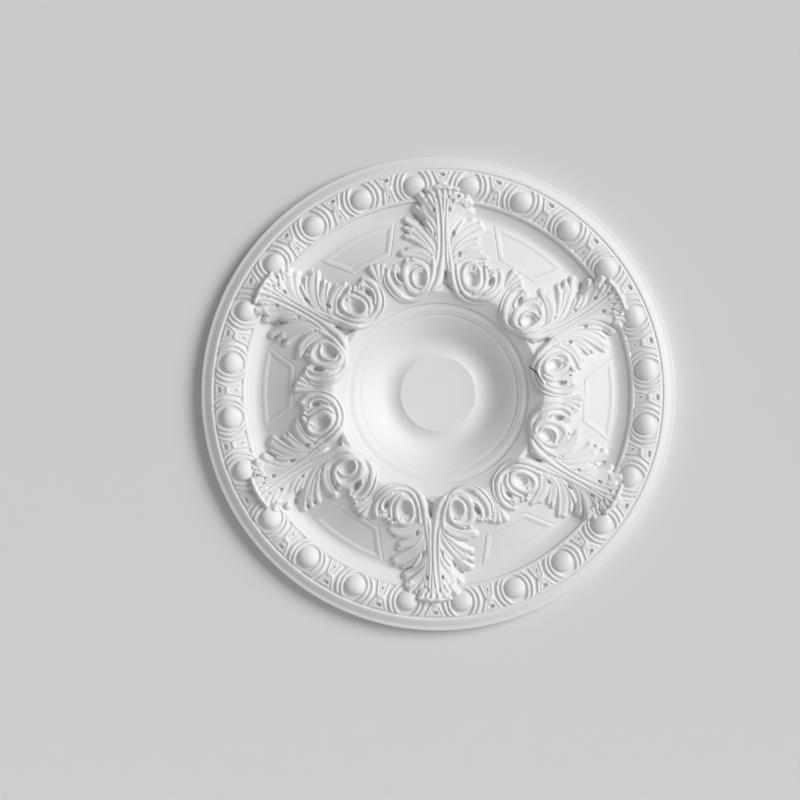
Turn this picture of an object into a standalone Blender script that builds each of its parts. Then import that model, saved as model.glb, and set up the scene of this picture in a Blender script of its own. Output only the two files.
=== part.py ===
"""Ceiling rose, cast in one piece: a turned round body with a flat back, an egg band under its rim,
six sunken panels, and six acanthus leaves that each grow out of a pair of scrolls.

It is modelled face up, with the relief rising along +Z, and a parent frame then stands it on edge:
its back lies in the plane Y = 0 and faces +Y, and the first leaf points up along +Z."""

import math

import bmesh
import bpy
from mathutils import Vector

# Driving dimensions in metres, counted outwards from the middle of the back
ROSE_RADIUS = 0.350
RIM_WIDTH = 0.0195
EGG_BAND_WIDTH = 0.0485
EGG_BAND_CREST = 0.0165  # from the band's outer edge in to its highest line
CAVETTO_WIDTH = 0.015
RING_RADIUS = 0.158  # the highest line of the body, under the scrolls
WELL_RADIUS = 0.070  # the lowest line, round the middle disc
DISC_RADIUS = 0.0555

# Heights above the back
EDGE_HEIGHT = 0.0164
BAND_OUTER_HEIGHT = 0.0270
BAND_CREST_HEIGHT = 0.0315
BAND_INNER_HEIGHT = 0.0225
TROUGH_HEIGHT = 0.0145
RING_HEIGHT = 0.0580
WELL_HEIGHT = 0.0090
DISC_HEIGHT = 0.0130

# How the slopes between those lines bend: the share of each that curves into the level at its low
# and its high end, or the power of its curve
FUNNEL_EASE = (0.25, 0.20)
FIELD_EASE = (0.35, 0.20)
RIM_EASE = (0.30, 0.30)
WELL_POWER = 2.0
CAVETTO_POWER = 1.2
BAND_POWER = 1.7

# Eggs, each in its husk
LEAF_COUNT = 6
EGGS_PER_LEAF = 4
EGG_RADIUS = 0.0150
EGG_RISE = 0.0065
EGG_SETBACK = 0.0040  # from the band's highest line in to the eggs' middles
EGG_SEAT = 0.6  # share of the husk's rise at which the egg is widest
HUSK_WIDTH = 0.0075
HUSK_RISE = 0.0030
HUSK_LENGTH_SHARE = 0.86  # of its width, along a radius

# Sunken panels
PANEL_DEPTH = 0.0020
PANEL_MARGIN_OUTER = 0.0030  # from the trough in to the panel's outer side
PANEL_LENGTH = 0.0500  # along a radius
PANEL_OUTER_HALF_ANGLE = 14.6
PANEL_INNER_HALF_ANGLE = 8.4
PANEL_TURN = 31.0  # from a leaf's axis on to the middle of the next panel
PANEL_OVERRUN = 0.3  # how far a cutter's sides run on past its outer corners, as a share of them
PANEL_UNDERRUN = 0.1  # the same, past its inner corners

# Scrolls
SCROLL_RADIUS = 0.0290
EYE_RADIUS = 0.0110
EYE_END_SHARE = 0.7  # of the eye's radius, where the winding ends
SCROLL_REACH = 0.0490  # from the leaf's axis to the middle of a scroll
EYE_REACH = 0.0380
SCROLL_SETBACK = 0.0080  # from the ring's highest line out to the scrolls' middles
EYE_SETBACK = 0.0120
SCROLL_THICKNESS = 0.0068
EYE_THICKNESS_SHARE = 0.7  # of the scroll's thickness, where the winding ends
SCROLL_TURNS = 1.6
SCROLL_START = math.radians(15)  # where its round begins, counted from the leaf's side
SCROLL_TIGHTENING = 1.6  # power by which the winding closes
SCROLL_RISE = 0.0050  # how far the scrolls stand above the ring
SCROLL_LIFT = 0.0020  # how far the winding's middle line stands above the body on the slopes
SCROLL_POINTS = 16
# Where a scroll's stem rises out of the field: across from the leaf's axis, out from the ring's
# highest line, and its share of the scroll's thickness
SCROLL_STEM = [(0.004, 0.055, 0.8), (0.008, 0.034, 0.9)]

# Leaves
LEAF_TIP_SETBACK = 0.0090  # from the band's highest line in to the leaf's turned-over tip
LEAF_TIP_HEIGHT = 0.0375
LEAF_LOW_HEIGHT = 0.0320  # where the leaf bridges the trough
LEAF_LOW_AT = 0.78  # share of the leaf's length where it is that low
LEAF_EASE = (0.1, 0.6)
LOBE_RISE = 0.0075  # how far a lobe's tip stands above the body
LOBE_ROOT_DEPTH = 0.0070  # how far a lobe's walls go into the body
LOBE_ROOT_SINK = 0.0010  # how far a lobe's root lies below the leaf's middle line
SHOULDER_DROP = 0.0030  # from a lobe's middle line down to its edges
ROSE_TURN = -0.9  # degrees, as the casting is fixed
LEAF_TURN = -2.0  # degrees, from the middle of the eggs to the leaf's own axis

# The leaf's lobes as shares of the leaf's length: where each leaves the stem, its belly and its tip,
# as pairs of (across, along), then its widest half width. Left is minus.
LOBES = [
    [(-0.04, 0.62), (-0.14, 0.84), (-0.275, 0.95), 0.074],
    [(-0.06, 0.50), (-0.19, 0.68), (-0.280, 0.81), 0.040],
    [(-0.08, 0.34), (-0.24, 0.55), (-0.400, 0.68), 0.080],
    [(-0.13, 0.26), (-0.28, 0.42), (-0.395, 0.52), 0.060],
    [(-0.03, 0.40), (-0.10, 0.52), (-0.150, 0.61), 0.044],
    [(-0.10, 0.20), (-0.24, 0.36), (-0.440, 0.33), 0.050],
    [(0.04, 0.62), (0.14, 0.84), (0.250, 0.94), 0.074],
    [(0.06, 0.50), (0.18, 0.66), (0.285, 0.78), 0.040],
    [(0.08, 0.34), (0.23, 0.52), (0.390, 0.63), 0.080],
    [(0.13, 0.26), (0.25, 0.40), (0.345, 0.49), 0.056],
    [(0.10, 0.20), (0.24, 0.36), (0.455, 0.32), 0.050],
]
# Along a lobe, and along the stem: the place and the share of the half width there
LOBE_SWELLS = [(0.0, 0.55), (0.5, 1.0), (0.85, 0.85), (1.0, 0.35)]
STEM_SWELLS = [(0.16, 0.6), (0.4, 0.9), (0.6, 1.0), (0.8, 1.2), (0.98, 1.9)]
STEM_HALF_WIDTH = 0.052
TIP_BAR_HALF_WIDTH = 0.128
TIP_BAR_THICKNESS = 0.030

# How finely it is turned and joined
TURNED_STEPS = 72
KEPT_SHARE = 0.6  # of the faces, once the joins' slivers are collapsed
MERGE = 0.00005

band_outer = ROSE_RADIUS - RIM_WIDTH
band_crest = band_outer - EGG_BAND_CREST
band_inner = band_outer - EGG_BAND_WIDTH
trough = band_inner - CAVETTO_WIDTH
leaf_length = band_crest - LEAF_TIP_SETBACK - RING_RADIUS


def eased(share, ease_in, ease_out):
    """A straight ramp from 0 to 1 whose two ends curve into the level."""
    steepness = 1 / (1 - ease_in / 2 - ease_out / 2)
    if share < ease_in:
        return steepness * share * share / (2 * ease_in)
    if share > 1 - ease_out:
        return 1 - steepness * (1 - share) ** 2 / (2 * ease_out)
    return steepness * (share - ease_in / 2)


def between(low, high, share):
    return low + (high - low) * share


def body_height(radius):
    """Height of the turned face at a distance from the middle."""
    if radius < DISC_RADIUS:
        return DISC_HEIGHT
    if radius < WELL_RADIUS:
        share = (WELL_RADIUS - radius) / (WELL_RADIUS - DISC_RADIUS)
        return between(WELL_HEIGHT, DISC_HEIGHT, share**WELL_POWER)
    if radius < RING_RADIUS:
        share = (radius - WELL_RADIUS) / (RING_RADIUS - WELL_RADIUS)
        return between(WELL_HEIGHT, RING_HEIGHT, eased(share, *FUNNEL_EASE))
    if radius < trough:
        share = (trough - radius) / (trough - RING_RADIUS)
        return between(TROUGH_HEIGHT, RING_HEIGHT, eased(share, *FIELD_EASE))
    if radius < band_inner:
        share = (radius - trough) / CAVETTO_WIDTH
        return between(TROUGH_HEIGHT, BAND_INNER_HEIGHT, share**CAVETTO_POWER)
    if radius < band_crest:
        share = (band_crest - radius) / (band_crest - band_inner)
        return between(BAND_CREST_HEIGHT, BAND_INNER_HEIGHT, share**BAND_POWER)
    if radius < band_outer:
        share = (radius - band_crest) / EGG_BAND_CREST
        return between(BAND_CREST_HEIGHT, BAND_OUTER_HEIGHT, share**BAND_POWER)
    share = (radius - band_outer) / RIM_WIDTH
    return between(BAND_OUTER_HEIGHT, EDGE_HEIGHT, eased(share, *RIM_EASE))


def steps(start, end, count):
    """Points after start, evenly spaced, up to and with end."""
    return [between(start, end, (i + 1) / count) for i in range(count)]


def new_object(name, mesh, collection, frame):
    obj = bpy.data.objects.new(name, mesh)
    collection.objects.link(obj)
    obj.parent = frame
    return obj


def turned(name, profile, closed, collection, frame):
    """A body turned round Z from a profile of (radius, height) pairs."""
    mesh = bpy.data.meshes.new(name)
    count = len(profile)
    edges = [(i, i + 1) for i in range(count - 1)]
    if closed:
        edges.append((count - 1, 0))
    mesh.from_pydata([(radius, 0, height) for radius, height in profile], edges, [])
    obj = new_object(name, mesh, collection, frame)
    screw = obj.modifiers.new("Turn", "SCREW")
    screw.axis = "Z"
    screw.steps = TURNED_STEPS
    screw.render_steps = TURNED_STEPS
    screw.use_merge_vertices = True
    screw.merge_threshold = MERGE
    return obj


def mesh_of_curve(curve):
    """The closed mesh that a curve draws, with its seams merged."""
    drawn = bpy.data.objects.new(curve.name + "_line", curve)
    bpy.context.scene.collection.objects.link(drawn)
    bpy.context.view_layer.update()
    depsgraph = bpy.context.evaluated_depsgraph_get()
    mesh = bpy.data.meshes.new_from_object(drawn.evaluated_get(depsgraph))
    mesh.transform(drawn.matrix_world)
    bpy.data.objects.remove(drawn)
    work = bmesh.new()
    work.from_mesh(mesh)
    bmesh.ops.remove_doubles(work, verts=work.verts, dist=MERGE)
    bmesh.ops.recalc_face_normals(work, faces=work.faces)
    work.to_mesh(mesh)
    work.free()
    return mesh


def tube(name, places, radii, collection, frame):
    """A closed tapering tube through places."""
    curve = bpy.data.curves.new(name, "CURVE")
    curve.dimensions = "3D"
    curve.twist_mode = "Z_UP"
    curve.bevel_depth = 1.0
    curve.bevel_resolution = 0
    curve.use_fill_caps = True
    spline = curve.splines.new("POLY")
    spline.points.add(len(places) - 1)
    for point, place, radius in zip(spline.points, places, radii):
        point.co = (*place, 1)
        point.radius = radius
    return new_object(name, mesh_of_curve(curve), collection, frame)


def dome(name, half_width, half_length, rise, sides, rings, collection, frame):
    """A pressed ball whose middle lies at its object's origin."""
    mesh = bpy.data.meshes.new(name)
    work = bmesh.new()
    bmesh.ops.create_uvsphere(work, u_segments=sides, v_segments=rings, radius=1)
    bmesh.ops.scale(work, vec=(half_width, half_length, rise), verts=work.verts)
    work.to_mesh(mesh)
    work.free()
    return new_object(name, mesh, collection, frame)


def polar(radius, degrees):
    """The place at a clockwise angle from +Y."""
    angle = math.radians(degrees)
    return Vector((radius * math.sin(angle), radius * math.cos(angle)))


def make_body(parts, frame):
    """The turned body: front face from the middle out, edge, then the flat back."""
    radii = [0, DISC_RADIUS - MERGE * 2]
    radii += steps(DISC_RADIUS, WELL_RADIUS, 2)
    radii += steps(WELL_RADIUS, RING_RADIUS, 4)
    radii += steps(RING_RADIUS, trough, 5)
    radii += [band_inner]
    radii += steps(band_inner, band_crest, 2)
    radii += steps(band_crest, band_outer, 1)
    radii += steps(band_outer, ROSE_RADIUS, 3)
    profile = [(radius, body_height(radius)) for radius in radii]
    profile += [(ROSE_RADIUS, 0), (0, 0)]
    return turned("ceiling_rose", profile, False, parts, frame)


def make_panel_cutters(cutters, frame):
    """Six panel outlines, cut from a ring whose underside follows the field."""
    outer = trough - PANEL_MARGIN_OUTER
    inner = outer - PANEL_LENGTH
    under = [(r, body_height(r) - PANEL_DEPTH) for r in [inner] + steps(inner, outer, 4)]
    over = [(outer, RING_HEIGHT), (inner, RING_HEIGHT)]
    ring = turned("panel_ring", (under + over)[::-1], True, cutters, frame)
    outlines = bpy.data.curves.new("panel_outlines", "CURVE")
    outlines.dimensions = "2D"
    outlines.fill_mode = "BOTH"
    outlines.extrude = RING_HEIGHT * 2
    for index in range(LEAF_COUNT):
        middle = PANEL_TURN + index * 360 / LEAF_COUNT - ROSE_TURN
        far = polar(outer * (1 + PANEL_OVERRUN), middle)
        outer_corners = [polar(outer, middle + side * PANEL_OUTER_HALF_ANGLE) for side in (-1, 1)]
        inner_corners = [polar(inner, middle + side * PANEL_INNER_HALF_ANGLE) for side in (-1, 1)]
        sides = list(zip(inner_corners, outer_corners))
        beyond = [low.lerp(high, 1 + PANEL_OVERRUN) for low, high in sides]
        within = [low.lerp(high, -PANEL_UNDERRUN) for low, high in sides]
        corners = [beyond[0], far, beyond[1], within[1], within[0]]
        spline = outlines.splines.new("POLY")
        spline.points.add(len(corners) - 1)
        spline.use_cyclic_u = True
        for point, corner in zip(spline.points, corners):
            point.co = (corner.x, corner.y, 0, 1)
    blocks = new_object("panel_blocks", mesh_of_curve(outlines), cutters, frame)
    cut = ring.modifiers.new("Panels only", "BOOLEAN")
    cut.operation = "INTERSECT"
    cut.object = blocks
    return ring


def make_eggs(relief, frame):
    """The egg and its husk, repeated round the band."""
    count = LEAF_COUNT * EGGS_PER_LEAF
    egg_radius = band_crest - EGG_SETBACK
    egg = dome("egg", EGG_RADIUS, EGG_RADIUS, EGG_RISE, 10, 6, relief, frame)
    across = EGG_RADIUS + HUSK_WIDTH
    husk = dome("husk", across, across * HUSK_LENGTH_SHARE, HUSK_RISE, 8, 4, relief, frame)
    husk_rest = body_height(egg_radius)
    egg_rest = husk_rest + HUSK_RISE * EGG_SEAT
    for index in range(count):
        turn = (index + 0.5) * 360 / count - ROSE_TURN
        place = polar(egg_radius, turn)
        for shape, rest in ((egg, egg_rest), (husk, husk_rest)):
            if index == 0:
                copy = shape
            else:
                copy = new_object(f"{shape.name}_{index}", shape.data, relief, frame)
            copy.location = (place.x, place.y, rest)
            copy.rotation_euler.z = -math.radians(turn)


def leaf_height(along):
    """Height of the leaf's middle line above the back, at a share of its length."""
    if along < LEAF_LOW_AT:
        return between(RING_HEIGHT, LEAF_LOW_HEIGHT, eased(along / LEAF_LOW_AT, *LEAF_EASE))
    share = (along - LEAF_LOW_AT) / (1 - LEAF_LOW_AT)
    return between(LEAF_LOW_HEIGHT, LEAF_TIP_HEIGHT, share * share)


def leaf_place(share_across, share_along):
    return Vector((share_across, share_along)) * leaf_length + Vector((0, RING_RADIUS))


def ridge(name, places, tops, half_widths, collection, frame):
    """A closed loft of five-sided sections: walls that rise from inside the body, and two slopes
    that meet in a middle line. Its width and height change on their own along the way."""
    work = bmesh.new()
    rings = []
    last = len(places) - 1
    for index, (place, top, half_width) in enumerate(zip(places, tops, half_widths)):
        ahead = places[min(index + 1, last)] - places[max(index - 1, 0)]
        across = Vector((ahead.y, -ahead.x)).normalized() * half_width
        floor = max(body_height(place.length) - LOBE_ROOT_DEPTH, LOBE_ROOT_DEPTH)
        left, right = place - across, place + across
        section = [
            (left.x, left.y, floor),
            (left.x, left.y, top - SHOULDER_DROP),
            (place.x, place.y, top),
            (right.x, right.y, top - SHOULDER_DROP),
            (right.x, right.y, floor),
        ]
        rings.append([work.verts.new(corner) for corner in section])
    for ring, following in zip(rings, rings[1:]):
        for a, b in zip(range(5), (1, 2, 3, 4, 0)):
            work.faces.new((ring[a], ring[b], following[b], following[a]))
    work.faces.new(rings[0][::-1])
    work.faces.new(rings[-1])
    bmesh.ops.recalc_face_normals(work, faces=work.faces)
    mesh = bpy.data.meshes.new(name)
    work.to_mesh(mesh)
    work.free()
    return new_object(name, mesh, collection, frame)


def make_leaf(relief, frame):
    """One leaf: its lobes, stem and turned-over tip, as the objects that repeat."""
    pieces = []
    for index, (root, belly, tip, half_width) in enumerate(LOBES):
        root_place, belly_place, tip_place = leaf_place(*root), leaf_place(*belly), leaf_place(*tip)
        root_top = leaf_height(root[1]) - LOBE_ROOT_SINK
        tip_top = body_height(tip_place.length) + LOBE_RISE
        places, tops = [], []
        for share, _ in LOBE_SWELLS:
            toward_belly = root_place.lerp(belly_place, share)
            place = toward_belly.lerp(belly_place.lerp(tip_place, share), share)
            places.append(place)
            least = body_height(place.length) + SHOULDER_DROP * 1.5
            tops.append(max(between(root_top, tip_top, share), least))
        half_widths = [half_width * leaf_length * swell for _, swell in LOBE_SWELLS]
        pieces.append(ridge(f"lobe_{index}", places, tops, half_widths, relief, frame))
    places = [leaf_place(0, along) for along, _ in STEM_SWELLS]
    tops = [leaf_height(along) for along, _ in STEM_SWELLS]
    half_widths = [STEM_HALF_WIDTH * leaf_length * swell for _, swell in STEM_SWELLS]
    pieces.append(ridge("stem", places, tops, half_widths, relief, frame))
    ends = [leaf_place(side * TIP_BAR_HALF_WIDTH, 1.0) for side in (-1, 1)]
    bar = [(end.x, end.y, LEAF_TIP_HEIGHT - SHOULDER_DROP) for end in ends]
    radii = [TIP_BAR_THICKNESS * leaf_length] * 2
    pieces.append(tube("tip_bar", bar, radii, relief, frame))
    return pieces


def make_scroll(side, relief, frame):
    """A scroll: a stem that leaves the leaf, sweeps under and winds into its eye."""
    outer_middle = Vector((side * SCROLL_REACH, RING_RADIUS + SCROLL_SETBACK))
    eye_middle = Vector((side * EYE_REACH, RING_RADIUS + EYE_SETBACK))
    top = RING_HEIGHT + SCROLL_RISE - SCROLL_THICKNESS
    places, radii = [], []
    for across, out, thickness_share in SCROLL_STEM:
        along = RING_RADIUS + out
        places.append((side * across, along, body_height(along)))
        radii.append(SCROLL_THICKNESS * thickness_share)
    for index in range(SCROLL_POINTS):
        share = index / (SCROLL_POINTS - 1)
        middle = outer_middle.lerp(eye_middle, share)
        closing = share**SCROLL_TIGHTENING
        radius = between(SCROLL_RADIUS, EYE_RADIUS * EYE_END_SHARE, closing)
        angle = SCROLL_START - share * SCROLL_TURNS * 2 * math.pi
        x = middle.x - side * radius * math.cos(angle)
        y = middle.y + radius * math.sin(angle)
        rest = body_height(math.hypot(x, y))
        places.append((x, y, min(top, rest + SCROLL_LIFT)))
        radii.append(SCROLL_THICKNESS * between(1.0, EYE_THICKNESS_SHARE, share))
    return tube(f"scroll_{'left' if side < 0 else 'right'}", places, radii, relief, frame)


def turn_copies(pieces, relief, frame):
    """Turns the first leaf into place and repeats it round the rose."""
    for index in range(LEAF_COUNT):
        turn = math.radians(ROSE_TURN + LEAF_TURN - index * 360 / LEAF_COUNT)
        for piece in pieces:
            if index == 0:
                copy = piece
            else:
                copy = new_object(f"{piece.name}_{index}", piece.data, relief, frame)
            copy.rotation_euler.z = turn


def make_material():
    material = bpy.data.materials.new("cast_white")
    material.use_nodes = True
    shader = material.node_tree.nodes["Principled BSDF"]
    shader.inputs["Base Color"].default_value = (0.86, 0.86, 0.86, 1)
    shader.inputs["Roughness"].default_value = 0.62
    shader.inputs["Metallic"].default_value = 0.0
    return material


def main():
    for obj in list(bpy.data.objects):
        bpy.data.objects.remove(obj)
    scene = bpy.context.scene
    parts = bpy.data.collections.new("ceiling_rose")
    relief = bpy.data.collections.new("relief_shapes")
    cutters = bpy.data.collections.new("panel_cutters")
    for collection in (parts, relief, cutters):
        scene.collection.children.link(collection)
    frame = bpy.data.objects.new("rose_frame", None)
    frame.rotation_euler.x = math.pi / 2
    parts.objects.link(frame)
    body = make_body(parts, frame)
    ring = make_panel_cutters(cutters, frame)
    make_eggs(relief, frame)
    leaf = make_leaf(relief, frame)
    leaf += [make_scroll(side, relief, frame) for side in (-1, 1)]
    turn_copies(leaf, relief, frame)
    for collection in (relief, cutters):
        for obj in collection.objects:
            obj.hide_render = True
            obj.display_type = "WIRE"
    sink = body.modifiers.new("Sink panels", "BOOLEAN")
    sink.operation = "DIFFERENCE"
    sink.object = ring
    close = body.modifiers.new("Close panel joins", "WELD")
    close.merge_threshold = MERGE
    join = body.modifiers.new("Join relief", "BOOLEAN")
    join.operation = "UNION"
    join.operand_type = "COLLECTION"
    join.collection = relief
    join.solver = "EXACT"
    thin = body.modifiers.new("Drop slivers", "DECIMATE")
    thin.ratio = KEPT_SHARE
    body.data.materials.append(make_material())
    bpy.context.view_layer.update()


main()
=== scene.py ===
import math

import bpy
import numpy as np
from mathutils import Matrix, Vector


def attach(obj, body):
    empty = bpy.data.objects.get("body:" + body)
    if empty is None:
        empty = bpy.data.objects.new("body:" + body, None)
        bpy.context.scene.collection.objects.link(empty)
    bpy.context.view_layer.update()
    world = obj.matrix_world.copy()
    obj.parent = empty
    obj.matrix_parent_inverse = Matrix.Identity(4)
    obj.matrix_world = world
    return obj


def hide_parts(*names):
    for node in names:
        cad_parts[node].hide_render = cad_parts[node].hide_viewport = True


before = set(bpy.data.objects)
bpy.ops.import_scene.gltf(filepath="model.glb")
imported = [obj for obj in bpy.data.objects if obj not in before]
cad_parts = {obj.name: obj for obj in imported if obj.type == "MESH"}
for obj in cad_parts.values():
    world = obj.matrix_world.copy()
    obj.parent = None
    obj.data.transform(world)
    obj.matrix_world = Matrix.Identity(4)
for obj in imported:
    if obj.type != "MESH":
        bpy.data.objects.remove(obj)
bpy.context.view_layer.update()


# Turned face. The rose's model was first turned as one round, from the flat middle disc out through
# the funnel, the ring, the sloping field, the egg band and the rim to its edge. It was moulded from
# that and cast in white foam. Lengths are in millimetres, heights count from the flat back.
ROSE_RADIUS = 350.0
DISC_RADIUS = 55.7
WELL_RADIUS = 70.0  # the lowest line of the face, round the middle disc
WELL_HEIGHT = 9.0
RING_RADIUS = 158.0  # its highest line, under the scrolls
RING_HEIGHT = 58.0
TROUGH_RADIUS = 266.0
TROUGH_HEIGHT = 14.5
CAVETTO_RADIUS = 284.0  # where the hollow below the egg band ends
CREST_RADIUS = 314.0  # the highest line of the egg band
CREST_HEIGHT = 31.5
BAND_RADIUS = 330.5  # where the egg band ends
PROFILE_STEPS = 400


def part_of(radius, start, end):
    """How much of the way from start to end a radius is, from 0 to 1."""
    return np.clip((radius - start) / (end - start), 0, 1)


def groove(radius, middle, half_width, depth):
    """A round-bottomed groove cut by the template."""
    across = np.clip(np.abs(radius - middle) / half_width, 0, 1)
    return -depth * (1 - across**2) ** 2


def quirk(radius, start, deepest, end, depth):
    """A groove with one gentle and one steep side, which sets off the moulding beyond it."""
    return -depth * part_of(radius, start, deepest) * (1 - part_of(radius, deepest, end))


def sloped(radius, start_height, end_height, slopes):
    """A run of the template between two heights, bent as its (radius, relative slope) pairs say."""
    places, steepness = np.transpose(slopes)
    fine = np.linspace(places[0], places[-1], PROFILE_STEPS)
    steep = np.interp(fine, places, steepness)
    climbed = np.concatenate([[0], np.cumsum(steep[1:] + steep[:-1])])
    return start_height + (end_height - start_height) * np.interp(radius, fine, climbed / climbed[-1])


def face_height(radius):
    """Height of the turned face, before any ornament is laid on it."""
    radius = np.asarray(radius, float)
    disc = 13.0 - 0.2 * part_of(radius, 55.3, DISC_RADIUS)
    flare = WELL_HEIGHT + 3.8 * (1 - part_of(radius, DISC_RADIUS, WELL_RADIUS)) ** 2
    funnel_slopes = [(WELL_RADIUS, 0), (88, 1.28), (97, 1.2), (110, 1.0), (150, 0.95), (RING_RADIUS, 0)]
    funnel = sloped(radius, WELL_HEIGHT, RING_HEIGHT, funnel_slopes)
    field_slopes = [(RING_RADIUS, 0), (174, 1.0), (257, 1.0), (TROUGH_RADIUS, 0.1)]
    field = sloped(radius, RING_HEIGHT, TROUGH_HEIGHT, field_slopes)
    cavetto_slopes = [(TROUGH_RADIUS, 0.1), (272, 0.45), (CAVETTO_RADIUS, 0.6)]
    cavetto = sloped(radius, TROUGH_HEIGHT, 20.3, cavetto_slopes)
    band_inner = CREST_HEIGHT - 9.0 * (1 - part_of(radius, 282, CREST_RADIUS)) ** 1.7
    band_outer = CREST_HEIGHT - 4.5 * part_of(radius, CREST_RADIUS, BAND_RADIUS) ** 1.7
    rim_slopes = [(332.5, 0.1), (337, 0.8), (342, 0.85), (346.3, 0.2), (347.6, 0.2), (ROSE_RADIUS, 0.9)]
    rim = sloped(radius, 26.2, 17.4, rim_slopes)
    stops = [
        DISC_RADIUS, WELL_RADIUS, RING_RADIUS, TROUGH_RADIUS, CAVETTO_RADIUS, CREST_RADIUS, BAND_RADIUS,
    ]
    height = np.select(
        [radius < stop for stop in stops],
        [disc, flare, funnel, field, cavetto, band_inner, band_outer],
        rim,
    )
    height += quirk(radius, 112.6, 116.6, 117.4, 1.1)
    height += quirk(radius, 124.0, 132.2, 133.5, 2.7)
    height += 0.9 * part_of(radius, 152.2, 153.4) * (1 - part_of(radius, RING_RADIUS, 175))
    height += groove(radius, 283.3, 1.5, 0.6)
    height += groove(radius, 330.2, 3.2, 1.9)
    # The ground of the egg band is sunk, so that eggs and husks stand out of it.
    floor_in = part_of(radius, 287.5, 290.5)
    floor_out = 1 - part_of(radius, 326.8, 329.4)
    height -= 2.6 * floor_in * floor_in * (3 - 2 * floor_in) * floor_out
    return height


MILLIMETRE = 0.001


def piece_from(name, vertices, faces, normals=None):
    """A smoothly shaded piece from places in millimetres, which rides on the rose's one body."""
    mesh = bpy.data.meshes.new(name)
    mesh.from_pydata((np.asarray(vertices) * MILLIMETRE).tolist(), [], faces)
    mesh.shade_smooth()
    if normals is not None:
        mesh.normals_split_custom_set_from_vertices(normals.tolist())
    piece = bpy.data.objects.new(name, mesh)
    bpy.context.scene.collection.objects.link(piece)
    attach(piece, "root")
    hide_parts("ceiling_rose")
    return piece


def turned(name, profile, count):
    """A skin turned round the rose's middle from (radius, height) pairs. A pair on the axis closes it."""
    turns = np.radians(np.arange(count) * 360 / count)
    vertices, rings, faces = [], [], []
    for radius, height in profile:
        if radius == 0:
            rings.append([len(vertices)] * count)
            vertices.append((0, -height, 0))
        else:
            rings.append(list(range(len(vertices), len(vertices) + count)))
            vertices += [(radius * math.sin(a), -height, radius * math.cos(a)) for a in turns]
    for ring, following in zip(rings, rings[1:]):
        for i in range(count):
            j = (i + 1) % count
            corners = [ring[i], ring[j], following[j], following[i]]
            faces.append(list(dict.fromkeys(corners)))
    return piece_from(name, vertices, faces)


INNER_SEAM = 138.0  # where the ornament takes over from the funnel
SEAM_LIP = 1.2  # how far a turned skin runs on under the ornament
INNER_SINK = 0.5  # how much lower its end lies there
FUNNEL_STEPS = 360

middle_radii = np.unique(np.concatenate([
    [0, 18, 36, 50, 54.3],
    np.arange(54.6, 56.4, 0.2),
    np.arange(57, 70, 1.0),
    np.arange(70, 113, 2.0),
    np.arange(113.8, 119, 0.3),
    np.arange(119, 130, 1.0),
    np.arange(130.2, 134.6, 0.3),
    np.arange(135, INNER_SEAM + 0.01, 1.0),
]))
middle_profile = [(r, float(face_height(r))) for r in middle_radii]
lip = INNER_SEAM + SEAM_LIP
middle_profile.append((lip, float(face_height(lip)) - INNER_SINK))
middle_and_funnel = turned("middle_and_funnel", middle_profile, FUNNEL_STEPS)


# Rim, edge and flat back. The rim is the same turning's outermost moulding. Its edge drops straight
# to the flat back, which is struck off level when the mould is filled.
OUTER_SEAM = 332.0  # where the ornament gives way to the rim
OUTER_SINK = 0.6
RIM_STEPS = 720

rim_radii = np.unique(np.concatenate([[OUTER_SEAM], np.arange(332.6, 349.4, 0.7), [349.3]]))
lip = OUTER_SEAM - SEAM_LIP
rim_profile = [(lip, float(face_height(lip)) - OUTER_SINK)]
rim_profile += [(r, float(face_height(r))) for r in rim_radii]
rim_profile += [(349.75, 16.9), (ROSE_RADIUS, 16.2), (ROSE_RADIUS, 10.0), (ROSE_RADIUS, 0.9)]
rim_profile += [(349.8, 0.3), (349.2, 0.0), (300, 0), (200, 0), (100, 0), (0, 0)]
rim_and_back = turned("rim_and_back", rim_profile, RIM_STEPS)


# Ornament. Six like sectors, each with one acanthus leaf, its pair of scrolls, four eggs and the
# sunken panels beside it, modelled once and pressed six times round the turned face. A place on a
# sector is millimetres across and out from the rose's middle, with the leaf pointing straight out.
SECTOR_COUNT = 6
SECTOR_TURN = 60.0
SECTOR_START = -28.0  # degrees from the egg band's axis to the sector's first side
COLUMN = 0.2  # degrees between neighbouring columns of points
ROW = 0.8  # between neighbouring rows
FIELD_ROW = 0.9
EGG_AXIS = 0.95  # degrees that the egg band stands turned on from the leaf
TOP = 62.7  # nothing stands higher above the back
SEEN_SCALE = 1.007  # places are drawn as seen from in front, where raised work looks a little larger


def flat_place(turn, radius):
    angle = np.radians(turn)
    return radius * np.sin(angle), radius * np.cos(angle)


def inside_line(x, y, start, end):
    """Distance to the right of the line from start to end."""
    run = (end[0] - start[0], end[1] - start[1])
    return ((x - start[0]) * run[1] - (y - start[1]) * run[0]) / math.hypot(*run)


PANEL_INNER = 215.6
PANEL_OUTER = 261.5
PANEL_SIDES_END = 269.0  # the lines of its sides are drawn on to this radius
PANEL_FRAME = 8.8  # how far in from its sides the roll slopes down


def panel_relief(turn, radius):
    """A sunken panel framed by a V groove and a roll that slopes down to the flat inside."""
    x, y = flat_place(turn, radius)
    inner = [flat_place(23.3, PANEL_INNER), flat_place(40.0, PANEL_INNER)]
    outer = [flat_place(16.4, PANEL_SIDES_END), flat_place(45.5, PANEL_SIDES_END)]
    sides = np.minimum.reduce([
        inside_line(x, y, inner[0], outer[0]),
        inside_line(x, y, outer[1], inner[1]),
        inside_line(x, y, inner[1], inner[0]),
    ])
    from_outer = PANEL_OUTER - radius
    cut = 1.2 * np.clip(1 - np.abs(sides) / 1.2, 0, 1) * np.clip(from_outer, 0, 1)
    cut += 0.35 * np.clip(1 - np.abs(from_outer) / 1.1, 0, 1) * np.clip(sides, 0, 1)
    share = np.clip(np.minimum(sides, from_outer) / PANEL_FRAME, 0, 1)
    return 0.5 * np.sin(math.pi * share) - 1.3 * share**3 - cut


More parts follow.
